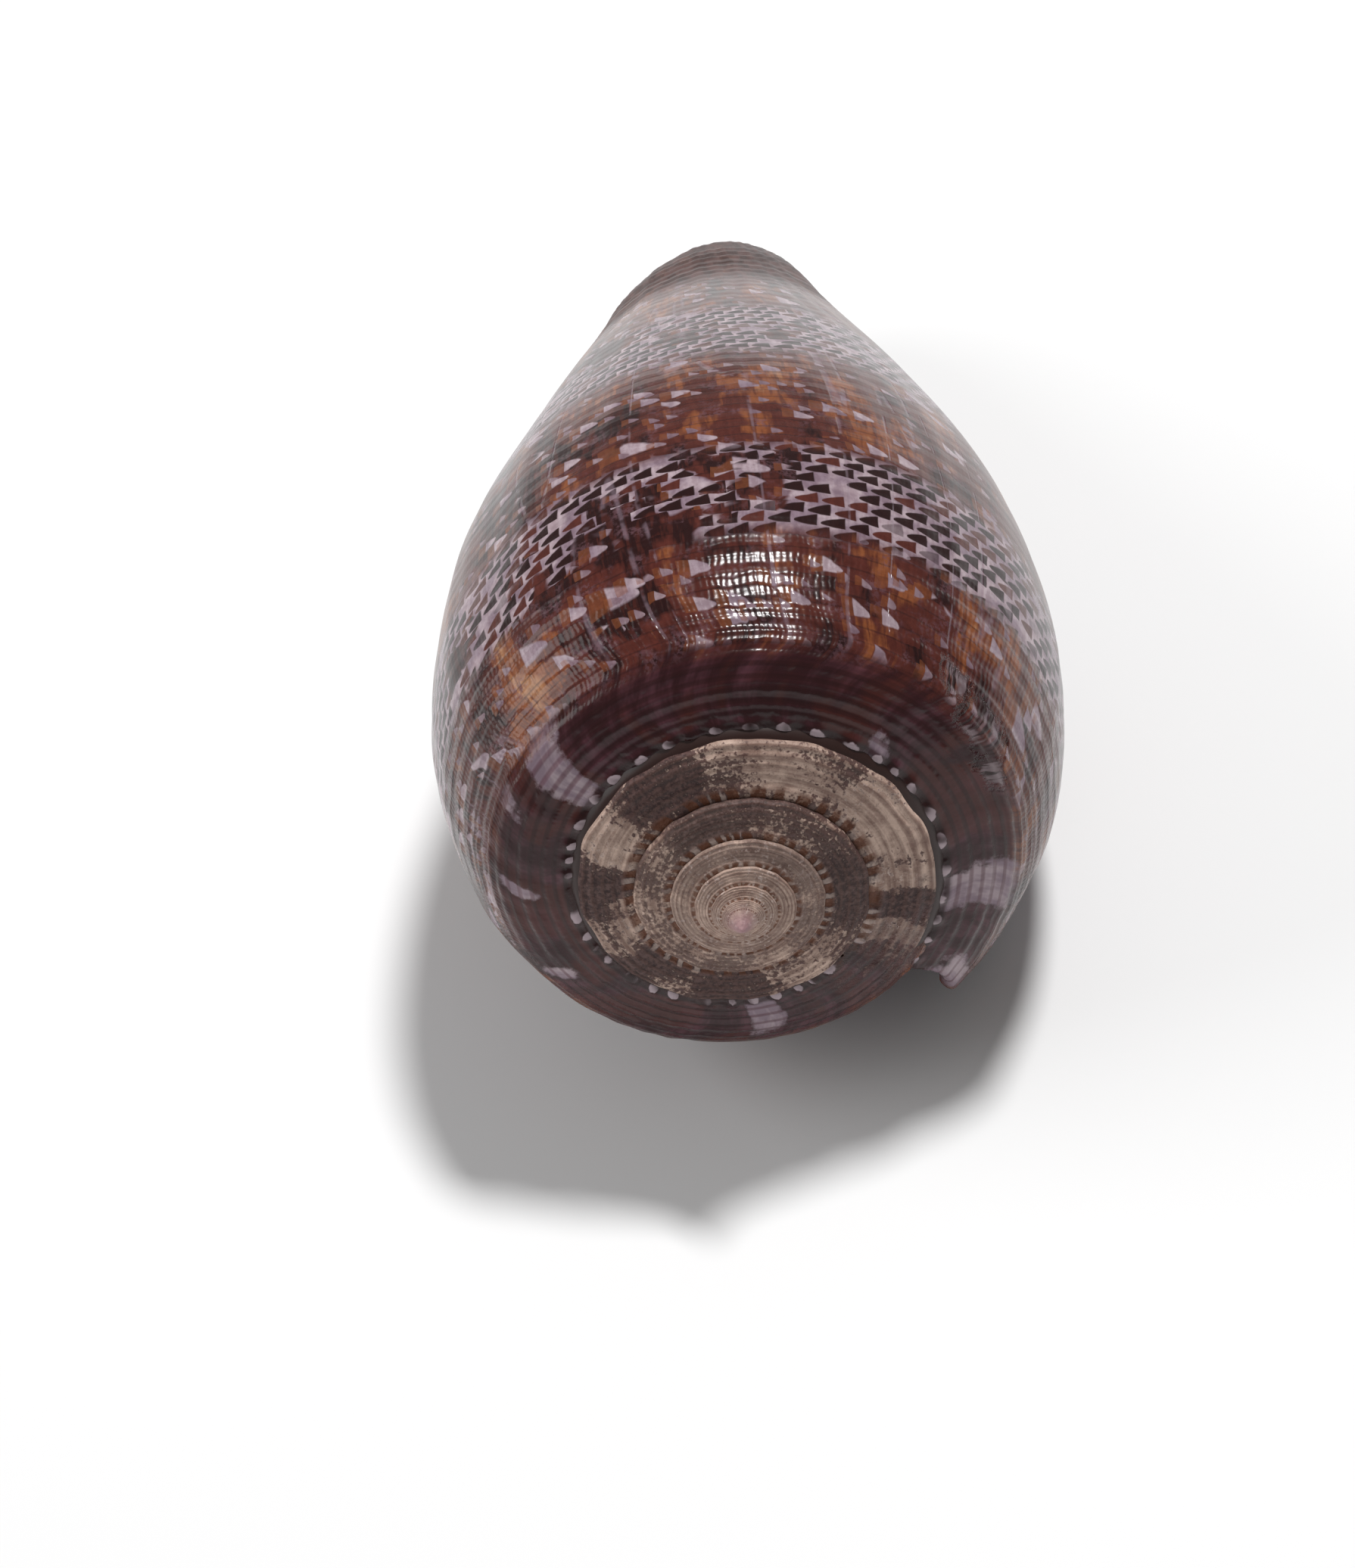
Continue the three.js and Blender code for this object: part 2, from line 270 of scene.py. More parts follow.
# ---------------------------------------------------------------------------------------------------
# Last whorl: the big outer turn from the suture to the siphonal end. Past the siphonal rim its wall
# closes in over the end of the central pillar, and over the last third of a turn it stays open there
# as the siphonal canal.
# ---------------------------------------------------------------------------------------------------
# Points lie closer together over the ramp and its shoulder, and at the siphonal end.
SHOULDER_WAY = 7
body_ways = np.concatenate((
    np.linspace(0, SHOULDER_WAY, 50)[:-1],
    np.linspace(SHOULDER_WAY, FRONT_WAY, 78)[:-1],
    np.linspace(FRONT_WAY, RIM_WAY, 46),
))
body_rows = np.linspace(-1, 0, 271)
END_STEPS = 14  # from the siphonal rim to the axis
END_BEND = 0.75  # share of those steps that run down to the pillar's end; the rest close over it


def led(rows, way):
    """Turns of a sheet's points. The shell swings out over its last quarter turn to the lip's edge."""
    return rows[:, None] + lip_lead(way)[None, :] * smooth(rows, -0.25, 0)[:, None]


def siphonal_end(rows, shut):
    """Points from the rim over the pillar's end to the axis; shut says how much of it is there."""
    rim_r, rim_d = grown(rows, np.full_like(rows, RIM_WAY))
    near_r, near_d = grown(rows, np.full_like(rows, RIM_WAY - 0.3))
    s = np.linspace(0, 1, END_STEPS + 1)[None, 1:] * shut[:, None]
    bend_r, bend_d = rim_r + (rim_r - near_r) * 4, rim_d + (rim_d - near_d) * 4
    a = np.clip(s / END_BEND, 0, 1)
    radius = (1 - a) ** 2 * rim_r[:, None] + 2 * a * (1 - a) * bend_r[:, None] + a**2 * PILLAR_END[0]
    depth = (1 - a) ** 2 * rim_d[:, None] + 2 * a * (1 - a) * bend_d[:, None] + a**2 * PILLAR_END[1]
    b = np.clip((s - END_BEND) / (1 - END_BEND), 0, 1)
    radius, depth = radius * (1 - b), depth + 0.35 * np.sin(b * pi / 2)
    turn = led(rows, np.array([RIM_WAY]))
    return coil_points(radius, depth, np.broadcast_to(turn, radius.shape))


turns = led(body_rows, body_ways)
ways_grid = np.broadcast_to(body_ways, turns.shape)
body_skin = outside(turns, ways_grid)
body_end = siphonal_end(body_rows, 1 - smooth(body_rows, -0.5, -0.3))
end_ways = RIM_WAY + np.linspace(0, 4, END_STEPS + 1)[1:]
all_ways = np.concatenate((body_ways, end_ways))
turns_all = np.concatenate((turns, np.repeat(turns[:, -1:], END_STEPS, 1)), 1)
body_points = np.concatenate((body_skin, body_end), 1)
body_growth = turns_all - lip_lead(np.minimum(all_ways, RIM_WAY))
body_bake = on_bake_map(0.005, 0.345, 0.985, 0.65, body_rows[:, None] + 1, all_ways / all_ways[-1])
last_whorl = wrapped("last_whorl", body_points, body_growth, all_ways, body_bake)

# ---------------------------------------------------------------------------------------------------
# Lip and inner wall: the cutting edge is rounded over its thickness, and behind it the inside of the
# wall runs back into the living chamber, thickening for a sixth of a turn.
# ---------------------------------------------------------------------------------------------------
EDGE_WALL = 0.85  # thickness at the lip
BODY_WALL = 1.25  # thickness further in
LIP_STEPS = 9  # over the roundness of the edge
INSIDE = 200  # added to the way on the inside of the wall, so that the colouring can tell it apart


def wall_thickness(rows, way):
    """Thinner at the lip, and drawn out thin at the suture and at the siphonal rim."""
    thick = EDGE_WALL + (BODY_WALL - EDGE_WALL) * smooth(-rows, 0, 1 / 6)
    thinned = smooth(way, 0, 1.6) * (1 - 0.85 * smooth(way, RIM_WAY - 2.5, RIM_WAY))
    return thick[:, None] * thinned[None, :]


lip = body_skin[-1]
lip_normal = across(body_skin)[-1]
lip_forward = np.gradient(body_skin, axis=0)[-1]
lip_forward /= np.linalg.norm(lip_forward, axis=-1, keepdims=True)
half_wall = wall_thickness(np.zeros(1), body_ways)[0][:, None] / 2
bends = np.linspace(0, pi, LIP_STEPS)[:, None, None]
rounded = np.cos(bends) * lip_normal + 0.8 * np.sin(bends) * lip_forward
lip_points = (lip - lip_normal * half_wall)[None] + half_wall * rounded
lip_growth = np.broadcast_to(0.004 * np.sin(bends[:, :, 0]), (LIP_STEPS, len(body_ways)))
lip_bake = on_bake_map(0.005, 0.325, 0.985, 0.012, body_ways / RIM_WAY, bends[:, :, 0] / pi)
lip_edge = wrapped("lip_edge", lip_points, lip_growth, body_ways, lip_bake)

inner_rows = np.concatenate((np.linspace(0, -0.3, 24)[:-1], np.linspace(-0.3, -0.97, 24)))
inner_turns = led(inner_rows, body_ways)
plain_r, plain_d = grown(inner_turns, np.broadcast_to(body_ways, inner_turns.shape))
plain = coil_points(plain_r, plain_d, inner_turns)
inner_points = plain + across(plain) * wall_thickness(inner_rows, body_ways)[..., None]
to_lip = lip_points[-1] - inner_points[0]
inner_points = inner_points + to_lip * (1 - smooth(-inner_rows, 0, 0.03))[:, None, None]
inner_bake = on_bake_map(0.37, 0.17, 0.62, 0.145, -inner_rows[:, None] / 1.2, body_ways / RIM_WAY)
inner_wall = wrapped("inner_wall", inner_points, inner_turns, body_ways + INSIDE, inner_bake)

# ---------------------------------------------------------------------------------------------------
# Older whorl inside the aperture: the outside of the whorl before, which carries on into the chamber
# under a thin glaze and runs down onto the central pillar.
# ---------------------------------------------------------------------------------------------------
under_ways = body_ways[body_ways > 0.85 * SHOWN_WAY]
under_rows = np.concatenate((np.linspace(-1.6, -1.25, 14)[:-1], np.linspace(-1.25, -1, 22)))
under_turns = np.broadcast_to(under_rows[:, None], (len(under_rows), len(under_ways)))
under_skin = outside(under_turns, np.broadcast_to(under_ways, under_turns.shape))
# Near the suture it dips, to stay clear of the wall that covers it there.
dip_across = 1 - smooth(under_ways, SHOWN_WAY + 1, SHOWN_WAY + 4)
dip_along = smooth(-under_rows, 1.0, 1.03)
under_skin[..., 2] -= 0.7 * dip_across[None, :] * dip_along[:, None]
under_points = np.concatenate((under_skin, siphonal_end(under_rows, np.full_like(under_rows, 0.75))), 1)
under_all = np.concatenate((under_ways, end_ways))
under_share = (under_rows[:, None] + 1.6) / 0.6
under_bake = on_bake_map(0.37, 0.01, 0.62, 0.145, under_share, under_all / under_all[-1])
pillar_side = wrapped("pillar_side", under_points, under_rows[:, None], under_all, under_bake)

# ---------------------------------------------------------------------------------------------------
# Spire: what shows of the six older whorls, each a ramp that ends in a low wavy ledge over the next,
# and the pointed first whorl that the snail hatched with.
# ---------------------------------------------------------------------------------------------------
SPIRE_REACH = 9.3  # just past the spire's widest
CLIFF = ((0.05, 0.10), (0.04, 0.35), (-0.1, 0.7))  # the ledge's side, out and down, at the lip's size


def round_bake(points):
    """The spire's area of the bake map is round, as the spire is from above its tip."""
    return on_bake_map(0.175, 0.165, 0.165, 0.155, points[..., 0] / SPIRE_REACH, points[..., 1] / SPIRE_REACH)


spire_rows = np.concatenate((
    np.linspace(-WHORLS, -3, (WHORLS - 3) * 90 + 1)[:-1],
    np.linspace(-3, -1, 2 * 200 + 1),
))
ramp_ways = np.linspace(0, SHOWN_WAY, 24)
spire_turns = np.broadcast_to(spire_rows[:, None], (len(spire_rows), len(ramp_ways)))
ramp = outside(spire_turns, np.broadcast_to(ramp_ways, spire_turns.shape), older=True)
edge_radius = np.hypot(ramp[:, -1, 0], ramp[:, -1, 1])[:, None]
spire_angles = -2 * pi * spire_rows
outward = np.stack((np.cos(spire_angles), np.sin(spire_angles), np.zeros_like(spire_angles)), -1)
down = np.array((0, 0, -1.0))
size = edge_radius / SUTURE_RADIUS
cliff = [ramp[:, -1] + outward * size * out + down * size * drop for out, drop in CLIFF]
spire_points = np.concatenate((ramp, np.stack(cliff, 1)), 1)
spire_ways = np.concatenate((ramp_ways, SHOWN_WAY + np.array((0.08, 0.2, 0.4))))
spire_growth = spire_rows[:, None] - lip_lead(spire_ways)[None, :]
spire = wrapped("spire", spire_points, spire_growth, spire_ways, round_bake(spire_points))

tip_rows = np.linspace(-WHORLS, 1 - WHORLS, 49)
tip_share = np.linspace(0.02, 1, 8)[None, :]
tip_edge = outside(tip_rows[:, None], np.zeros((len(tip_rows), 1)), older=True)
tip_radius = 1.1 * np.hypot(tip_edge[..., 0], tip_edge[..., 1]) * tip_share
tip_depth = SPIRE_SLOPE * tip_radius + TIP_RISE
tip_turns = np.broadcast_to(tip_rows[:, None], tip_radius.shape)
tip_points = coil_points(tip_radius, tip_depth, tip_turns)
tip_ways = np.ones_like(tip_share)
first_whorl = wrapped("first_whorl", tip_points, tip_rows[:, None], tip_ways, round_bake(tip_points))

# ---------------------------------------------------------------------------------------------------
# Shell, joined and laid down: the sheets are welded into one piece, which lies tipped on its lip and
# last whorl, with its spire towards -Y.
# ---------------------------------------------------------------------------------------------------
LEAN = radians(79.16)  # of the axis from upright
ROLL = radians(-38.65)  # round the axis
TIP_PLACE = (-0.0010046, -0.0248618, 0.0146980)  # where the tip of the spire comes to lie
WELD = 0.000004  # points closer than this are one

bpy.ops.object.select_all(action="DESELECT")
for sheet in (last_whorl, lip_edge, inner_wall, pillar_side, spire, first_whorl):
    sheet.select_set(True)
bpy.context.view_layer.objects.active = last_whorl
bpy.ops.object.join()
shell = bpy.context.object
shell.name = "cone_shell"
bpy.ops.object.mode_set(mode="EDIT")
bpy.ops.mesh.select_all(action="SELECT")
bpy.ops.mesh.remove_doubles(threshold=WELD)
bpy.ops.object.mode_set(mode="OBJECT")
shell.data.transform(Matrix.Rotation(LEAN, 4, "X") @ Matrix.Rotation(ROLL, 4, "Z"))
shell.data.transform(Matrix.Translation(TIP_PLACE))
bpy.ops.object.shade_smooth()

# ---------------------------------------------------------------------------------------------------
# Shell, its colouring. Pigment is laid down at the lip in rows, so every mark follows the coil: bands
# of dark wedges on lilac, white tents over orange and red-brown, a purple-brown ramp with flames, and
# a spire whose colour has worn to chalk.
# ---------------------------------------------------------------------------------------------------
def node(tree, kind, values=(), **settings):
    """Adds a node, with settings, and fills its inputs with numbers or with other nodes' outputs."""
    made = tree.nodes.new(kind)
    for name, value in settings.items():
        setattr(made, name, value)
    for key, value in dict(values).items():
        if isinstance(value, bpy.types.NodeSocket):
            tree.links.new(value, made.inputs[key])
        else:
            made.inputs[key].default_value = value
    return made


def calc(tree, operation, *values):
    return node(tree, "ShaderNodeMath", enumerate(values), operation=operation).outputs[0]


def times(tree, first, *others):
    for other in others:
        first = calc(tree, "MULTIPLY", first, other)
    return first


def plus(tree, first, *others):
    for other in others:
        first = calc(tree, "ADD", first, other)
    return first


def minus(tree, value, other):
    return calc(tree, "SUBTRACT", value, other)


def inverse(tree, mask):
    return calc(tree, "SUBTRACT", 1.0, mask)


def swing(tree, value, amount):
    """A noise that lies between 0 and 1, moved to lie about zero, times an amount."""
    return times(tree, minus(tree, value, 0.5), amount)


def weigh(tree, *pairs):
    """Values added up, each times its share."""
    return plus(tree, *[times(tree, value, share) for value, share in pairs])


def wave(tree, value, pitch):
    """Even waves along a length, between -1 and 1."""
    return calc(tree, "SINE", times(tree, value, 2 * pi / pitch))


def step(tree, value, low, high):
    """0 below low and 1 above high, with a smooth rise between."""
    values = {"Value": value, "From Min": low, "From Max": high}
    return node(tree, "ShaderNodeMapRange", values, interpolation_type="SMOOTHSTEP").outputs[0]


def mix(tree, factor, below, above, kind="MIX"):
    made = node(tree, "ShaderNodeMix", {0: factor, 6: below, 7: above}, data_type="RGBA", blend_type=kind)
    return made.outputs[2]


def noise(tree, place, scale, detail=3.0, rough=0.55):
    values = {"Vector": place, "Scale": scale, "Detail": detail, "Roughness": rough}
    return node(tree, "ShaderNodeTexNoise", values).outputs["Fac"]


def place_of(tree, x, y, z=0.0):
    return node(tree, "ShaderNodeCombineXYZ", {"X": x, "Y": y, "Z": z}).outputs[0]


def group(name, inputs, outputs):
    tree = bpy.data.node_groups.new(name, "ShaderNodeTree")
    for title, value in inputs.items():
        tree.interface.new_socket(title, in_out="INPUT", socket_type="NodeSocketFloat").default_value = value
    for title in outputs:
        tree.interface.new_socket(title, in_out="OUTPUT", socket_type="NodeSocketFloat")
    return tree, tree.nodes.new("NodeGroupInput").outputs, tree.nodes.new("NodeGroupOutput").inputs


# Rows of wedges like roof tiles, each widening along the coil to a flat end, with a block past that end.
wedge_inputs = {"Along": 0, "Across": 0, "Length": 0.75, "Fill": 0.8, "Ragged": 0.1}
wedge_rows, given, put = group("wedge_rows", wedge_inputs, ("Mask", "Chance", "Block"))
t = wedge_rows
across_row = calc(t, "FLOOR", given["Across"])
brick = times(t, calc(t, "FLOORED_MODULO", across_row, 2.0), 0.5)
row_luck = node(t, "ShaderNodeTexWhiteNoise", {"Vector": place_of(t, across_row, 3.7)}, noise_dimensions="2D")
row_shift = times(t, row_luck.outputs["Value"], given["Ragged"])
shifted = plus(t, given["Along"], brick, row_shift)
cell = place_of(t, calc(t, "FLOOR", shifted), across_row)
cell_luck = node(t, "ShaderNodeTexWhiteNoise", {"Vector": cell}, noise_dimensions="2D")
x = calc(t, "DIVIDE", calc(t, "FRACT", shifted), given["Length"])
half_width = times(t, calc(t, "POWER", x, 0.5), given["Fill"])
middle = plus(t, 0.28, times(t, calc(t, "MINIMUM", x, 1.0), 0.22))
off_middle = minus(t, calc(t, "FRACT", given["Across"]), middle)
off_middle = times(t, calc(t, "ABSOLUTE", off_middle), 2.0)
inside_side = step(t, minus(t, half_width, off_middle), -0.12, 0.14)
past_end = step(t, x, 0.95, 1.02)
t.links.new(times(t, inside_side, inverse(t, past_end)), put["Mask"])
t.links.new(cell_luck.outputs["Value"], put["Chance"])
t.links.new(times(t, past_end, inside_side), put["Block"])

# One ragged patch at a given turn and way, whose half length and half width are given.
patch_inputs = {"Turn": 0, "Way": 0, "At Turn": 0, "At Way": 0, "Half Turn": 0.01, "Half Way": 1, "Ragged": 0}
patch, given, put = group("patch", patch_inputs, ("Mask",))
t = patch
u = calc(t, "DIVIDE", minus(t, given["Turn"], given["At Turn"]), given["Half Turn"])
v = calc(t, "DIVIDE", minus(t, given["Way"], given["At Way"]), given["Half Way"])
u_part, v_part = (calc(t, "POWER", calc(t, "ABSOLUTE", part), 3.0) for part in (u, v))
from_centre = calc(t, "POWER", plus(t, u_part, v_part), 0.333)
t.links.new(inverse(t, step(t, plus(t, from_centre, given["Ragged"]), 0.70, 1.15)), put["Mask"])

LILAC = (0.245, 0.175, 0.215, 1)
WHITE = (0.42, 0.33, 0.36, 1)
ORANGE = (0.215, 0.065, 0.022, 1)
RED_BROWN = (0.085, 0.018, 0.012, 1)
MAROON = (0.018, 0.003, 0.003, 1)
MUSTARD = (0.36, 0.17, 0.08, 1)
PURPLE_BROWN = (0.032, 0.006, 0.008, 1)
FLUSH = (0.098, 0.032, 0.044, 1)
PIGMENT_PITCH = 0.72  # millimetres from one row of pigment to the next
TURN_LENGTH = 90.0  # millimetres round the widest part of the last whorl

enamel = bpy.data.materials.new("shell_enamel")
enamel.use_nodes = True
t = enamel.node_tree
shader = t.nodes["Principled BSDF"]
growth_map = node(t, "ShaderNodeUVMap", uv_map="growth").outputs[0]
split = node(t, "ShaderNodeSeparateXYZ", {0: growth_map})
turn, way = split.outputs["X"], split.outputs["Y"]
round_mm = times(t, turn, TURN_LENGTH)
skin = place_of(t, round_mm, way)
body_place = node(t, "ShaderNodeTexCoord").outputs["Object"]


def drawn_out(along, over, seed):
    """A place in turn and way, each times its own scale, so that a noise is drawn out one way."""
    return place_of(t, times(t, turn, along), times(t, way, over), seed)


drift = noise(t, skin, 0.35, 2.0)
drift2 = noise(t, place_of(t, round_mm, way, 7.0), 0.9, 2.0)
way_w = plus(t, way, swing(t, drift2, 0.5))
turn_w = plus(t, turn, swing(t, drift, 0.006))
grime = noise(t, body_place, 900.0, 5.0, 0.7)
speck = noise(t, body_place, 5200.0, 2.0, 0.6)
streak = noise(t, drawn_out(60.0, 0.35, 2.0), 1.0, 3.0, 0.65)
ragged = plus(t, swing(t, streak, 1.7), swing(t, grime, 1.6))


def wedges(along, across_rows, length, fill, rag):
    made = node(t, "ShaderNodeGroup", node_tree=wedge_rows)
    for key, value in (("Along", along), ("Across", across_rows)):
        t.links.new(value, made.inputs[key])
    for key, value in (("Length", length), ("Fill", fill), ("Ragged", rag)):
        made.inputs[key].default_value = value
    return made.outputs


def patches(places):
    """One mask for several patches, each given as turn, way, half turn, half way."""
    mask = None
    for place in places:
        made = node(t, "ShaderNodeGroup", node_tree=patch)
        for key, value in (("Turn", turn), ("Way", way), ("Ragged", ragged)):
            t.links.new(value, made.inputs[key])
        for key, value in zip(("At Turn", "At Way", "Half Turn", "Half Way"), place):
            made.inputs[key].default_value = value
        mask = made.outputs[0] if mask is None else calc(t, "MAXIMUM", mask, made.outputs[0])
    return mask


# Ground: orange to maroon in short blocks with straight ends, drawn out along the shell and finely lined.
BLOCK_LENGTH = 1.2
ROW_OFFSET = 0.37  # of a block or a row, from each to the next, so that they don't line up
VEIL = (0.19, 0.095, 0.115, 1)
axial = noise(t, place_of(t, round_mm, times(t, way, 0.45)), 0.42, 4.0, 0.6)
blotch = noise(t, place_of(t, round_mm, way, 3.0), 0.16, 3.0, 0.55)
block_row = calc(t, "FLOOR", calc(t, "DIVIDE", way_w, PIGMENT_PITCH))
block_start = plus(t, calc(t, "DIVIDE", round_mm, BLOCK_LENGTH), times(t, block_row, ROW_OFFSET))
block = place_of(t, calc(t, "FLOOR", block_start), block_row)
block_luck = node(t, "ShaderNodeTexWhiteNoise", {"Vector": block}, noise_dimensions="2D").outputs["Value"]
tone = plus(t, weigh(t, (axial, 0.55), (blotch, 0.45)), swing(t, block_luck, 0.07))
mustard_spots = patches(((-0.478, 7.2, 0.022, 2.4), (-0.492, 11.5, 0.010, 2.2), (-0.512, 5.0, 0.012, 1.6)))
tone = plus(t, tone, times(t, mustard_spots, 0.10))
ground_ramp = node(t, "ShaderNodeValToRGB", {0: tone})
stops = ground_ramp.color_ramp.elements
stops[0].position, stops[0].color = 0.44, MAROON
stops[1].position, stops[1].color = 0.70, MUSTARD
for position, colour in ((0.485, RED_BROWN), (0.54, RED_BROWN), (0.585, ORANGE), (0.64, ORANGE)):
    stops.new(position).color = colour
colour = ground_ramp.outputs[0]
lining = noise(t, place_of(t, times(t, round_mm, 3.2), times(t, way, 0.5)), 1.0, 2.0)
colour = mix(t, times(t, step(t, lining, 0.48, 0.62), 0.6), colour, RED_BROWN)
row_lines = inverse(t, step(t, calc(t, "ABSOLUTE", wave(t, way, 2 * PIGMENT_PITCH)), 0.05, 0.35))
colour = mix(t, times(t, row_lines, 0.45), colour, MAROON)
veil = times(t, step(t, drift2, 0.48, 0.66), step(t, speck, 0.40, 0.62))
colour = mix(t, times(t, veil, 0.45), colour, VEIL)

# White tents of three sizes, each with its flat side away from the lip and an orange block behind it.
body_zone = times(t, step(t, way, 4.0, 5.2), inverse(t, step(t, way, 41.0, 45.0)))
cluster = noise(t, place_of(t, round_mm, way, 11.0), 0.22, 2.0)
tent_tone = mix(t, step(t, drift, 0.35, 0.65), LILAC, WHITE)
tent_sizes = (  # number to a turn, millimetres to a row, rough share left out, length, colour
    (34, 1.62, 0.90, 0.62, tent_tone),
    (58, 0.98, 0.88, 0.62, tent_tone),
    (104, 0.60, 0.86, 0.60, mix(t, 0.45, tent_tone, FLUSH)),
)
for number, (count, row_mm, left_out, length, tent_colour) in enumerate(tent_sizes, 1):
    rows_across = plus(t, calc(t, "DIVIDE", way_w, row_mm), number * ROW_OFFSET)
    tent = wedges(times(t, turn_w, -count), rows_across, length, 0.85, 0.8)
    luck = plus(t, tent["Chance"], swing(t, cluster, 0.5))
    lucky = times(t, step(t, luck, left_out, left_out + 0.01), body_zone)
    colour = mix(t, times(t, tent["Block"], lucky, 0.5), colour, ORANGE)
    colour = mix(t, times(t, tent["Mask"], lucky), colour, tent_colour)

# Two bands of dark wedges on a lilac ground, broken in places by the brown ground.
DOTS = 76  # to a turn
BANDS = ((10.4, 16.4, 0.6, 0.395), (27.0, 35.5, 1.2, 0.43))  # from, to, softness, where it breaks
bent = plus(t, way, times(t, minus(t, way_w, way), 0.4))
dot = wedges(times(t, turn_w, DOTS), calc(t, "DIVIDE", bent, PIGMENT_PITCH), 0.88, 1.04, 0.1)
dots = times(t, dot["Mask"], step(t, dot["Chance"], 0.06, 0.10))
dot_colour = mix(t, step(t, dot["Chance"], 0.72, 0.80), MAROON, RED_BROWN)
dotted = mix(t, dots, mix(t, step(t, drift2, 0.40, 0.66), LILAC, WHITE), dot_colour)
unbroken = plus(t, weigh(t, (blotch, 0.6), (cluster, 0.4)), swing(t, block_luck, 0.08))
for low, high, soft, broken in BANDS:
    above = step(t, way_w, low - soft, low + soft)
    below = inverse(t, step(t, way_w, high - soft, high + soft))
    band = times(t, above, below, step(t, unbroken, broken, broken + 0.02))
    colour = mix(t, band, colour, dotted)

# Fine grain over the whole pattern, drawn out across the rows.
GRAIN = (0.42, 0.30, 0.33, 1)
grain = weigh(t, (lining, 0.6), (speck, 0.4))
grain_tone = mix(t, step(t, grain, 0.38, 0.62), (1, 1, 1, 1), GRAIN)
colour = mix(t, 0.42, colour, grain_tone, "MULTIPLY")

# Siphonal end: plain mottled brown.
FRONT_BROWN = (0.038, 0.014, 0.011, 1)
FRONT_FAWN = (0.10, 0.052, 0.046, 1)
front = step(t, way, 41.0, 46.0)
front_tone = mix(t, step(t, drift2, 0.42, 0.60), FRONT_BROWN, FRONT_FAWN)
colour = mix(t, times(t, front, 0.85), colour, front_tone)

# Ramp: purple-brown with fine dark cords, a few white flames across it, and small beads on its margin.
on_ramp = inverse(t, step(t, plus(t, way, times(t, ragged, 0.9)), 3.5, 4.6))
cord_lines = step(t, wave(t, way, CORD_PITCH), -0.3, 0.9)
flushed = times(t, step(t, axial, 0.42, 0.62), step(t, streak, 0.35, 0.65))
ramp_tone = mix(t, flushed, PURPLE_BROWN, FLUSH)
ramp_tone = mix(t, times(t, step(t, blotch, 0.50, 0.58), 0.6), ramp_tone, RED_BROWN)
flames = patches((
    (-0.079, 2.6, 0.018, 2.9), (-0.500, 2.4, 0.016, 2.2), (-0.235, 0.6, 0.009, 0.9),
    (-0.612, 2.9, 0.006, 0.8), (-0.696, 3.1, 0.008, 0.8), (-0.872, 1.9, 0.014, 1.4),
    (-0.549, 4.9, 0.010, 1.5), (-0.005, 3.4, 0.012, 1.6),
))
flame_colour = mix(t, step(t, streak, 0.40, 0.60), LILAC, WHITE)
ramp_tone = mix(t, flames, ramp_tone, flame_colour)
ramp_tone = mix(t, times(t, cord_lines, 0.62), ramp_tone, mix(t, flames, MAROON, FLUSH))
colour = mix(t, on_ramp, colour, ramp_tone)
bead = node(t, "ShaderNodeAttribute", attribute_name="bead").outputs["Fac"]
bead_wave = plus(t, bead, swing(t, drift2, 1.2))
from_middle = calc(t, "ABSOLUTE", calc(t, "DIVIDE", minus(t, way, 0.50), 0.30))
from_middle = calc(t, "POWER", from_middle, 2.0)
white_bead = step(t, minus(t, bead_wave, times(t, from_middle, 0.45)), 0.50, 0.68)
on_margin = inverse(t, step(t, way, 0.7, 1.0))
colour = mix(t, times(t, on_margin, 0.7), colour, MAROON)
colour = mix(t, times(t, white_bead, step(t, drift, 0.40, 0.54)), colour, WHITE)

# Old break at the shoulder, healed over in lilac-grey and maroon streaks in a shallow hollow.
HEALED = (0.16, 0.115, 0.125, 1)
scar = patches(((-0.195, 4.7, 0.020, 1.0), (-0.165, 3.8, 0.014, 0.7), (-0.225, 5.6, 0.012, 0.7)))
colour = mix(t, times(t, scar, step(t, streak, 0.46, 0.56)), colour, HEALED)
colour = mix(t, times(t, scar, step(t, lining, 0.50, 0.60)), colour, MAROON)

# Spire: worn to chalk, with what is left of the flames in purple-brown patches, and a pink tip.
CHALK = (0.63, 0.46, 0.375, 1)
BRIGHT_CHALK = (0.66, 0.52, 0.46, 1)
DULL_CHALK = (0.25, 0.155, 0.122, 1)
DARK_PATCH = (0.026, 0.008, 0.009, 1)
PATCH_SPECK = (0.085, 0.040, 0.036, 1)
WORN_BROWN = (0.13, 0.060, 0.045, 1)
STAIN = (0.15, 0.045, 0.014, 1)
PINK = (0.38, 0.22, 0.24, 1)
WORN_CORD_PITCH = 0.62
faded = plus(t, turn, swing(t, grime, 0.35))
spire_part = inverse(t, step(t, faded, -1.10, -0.96))
spire_part = times(t, spire_part, calc(t, "LESS_THAN", way, SHOWN_WAY + 0.5))
rings = noise(t, drawn_out(7.0, 3.2, 5.0), 1.0, 3.0, 0.6)
sector = noise(t, drawn_out(6.0, 0.12, 5.0), 1.0, 2.0, 0.6)
pale = patches((
    (-1.53, 2.3, 0.035, 2.2), (-1.18, 2.4, 0.055, 2.0), (-1.10, 2.2, 0.016, 2.6), (-1.035, 1.8, 0.016, 2.2),
    (-1.67, 2.4, 0.03, 2.2),
))
dark = patches((
    (-1.43, 2.4, 0.045, 2.8), (-1.595, 2.8, 0.024, 2.8), (-1.072, 2.2, 0.018, 2.8), (-1.84, 2.6, 0.06, 2.4),
))
worn_tone = weigh(t, (sector, 0.55), (rings, 0.25), (speck, 0.40), (minus(t, dark, pale), 0.11))
kept = step(t, worn_tone, 0.525, 0.605)
